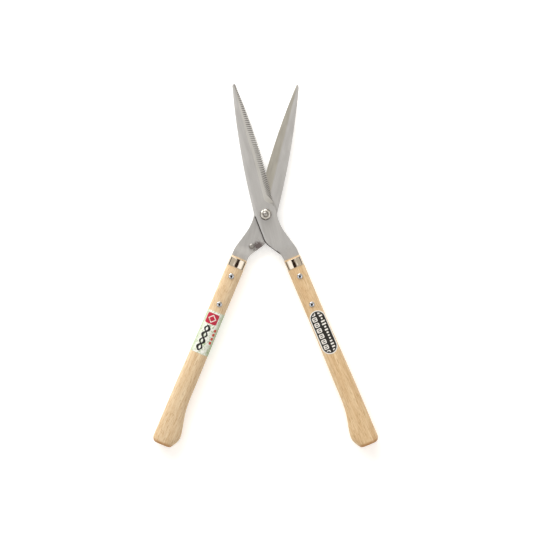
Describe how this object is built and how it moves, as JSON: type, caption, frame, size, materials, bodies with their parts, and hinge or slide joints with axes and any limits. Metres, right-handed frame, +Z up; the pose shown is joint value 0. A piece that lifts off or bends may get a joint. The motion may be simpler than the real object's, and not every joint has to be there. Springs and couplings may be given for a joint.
{
  "type": "hedge shears",
  "caption": "Hedge shears with a serrated front blade and a plain rear blade crossing on one pivot bolt, and straight oval wooden handles with plated ferrules.",
  "frame": {"origin": "middle of the pivot bolt's flat head, on the plane that the shears lie on", "axes": "+Z up along the pivot axis, towards the nut; +Y towards the tips, halfway between the blades; +X to the side of the rear blade's tip and the front half's handle"},
  "size_m": [0.328, 0.5313, 0.0236],
  "materials": {
    "blade_steel": "satin ground steel with fine lengthwise grinding lines",
    "pivot_zinc": "bright zinc plate",
    "ferrule_plate": "bright nickel plate",
    "rivet_plate": "bright nickel plate",
    "left_wood": "satin lacquered pale hardwood, grain along the handle",
    "right_wood": "satin lacquered pale hardwood, grain along the handle",
    "wrap_film": "printed film, plain blocks only",
    "sticker_film": "printed film, plain bars only"
  },
  "bodies": {
    "rear_half": {"rear_blade": "blade_steel", "stop_pin": "blade_steel", "pivot_bolt": "pivot_zinc", "pivot_washer": "pivot_zinc", "pivot_nut": "pivot_zinc", "left_handle": "left_wood", "left_ferrule": "ferrule_plate", "left_upper_rivet": "rivet_plate", "left_lower_rivet": "rivet_plate", "left_upper_burr": "rivet_plate", "left_lower_burr": "rivet_plate", "left_label": "wrap_film"},
    "front_half": {"front_blade": "blade_steel", "right_handle": "right_wood", "right_ferrule": "ferrule_plate", "right_upper_rivet": "rivet_plate", "right_lower_rivet": "rivet_plate", "right_upper_burr": "rivet_plate", "right_lower_burr": "rivet_plate", "right_label": "sticker_film"}
  },
  "joints": [
    {"name": "pivot", "type": "hinge", "parent": "rear_half", "child": "front_half", "pos_m": [0, 0, 0.01], "axis": [0, 0, 1], "range_deg": [-27.6, 108]}
  ]
}
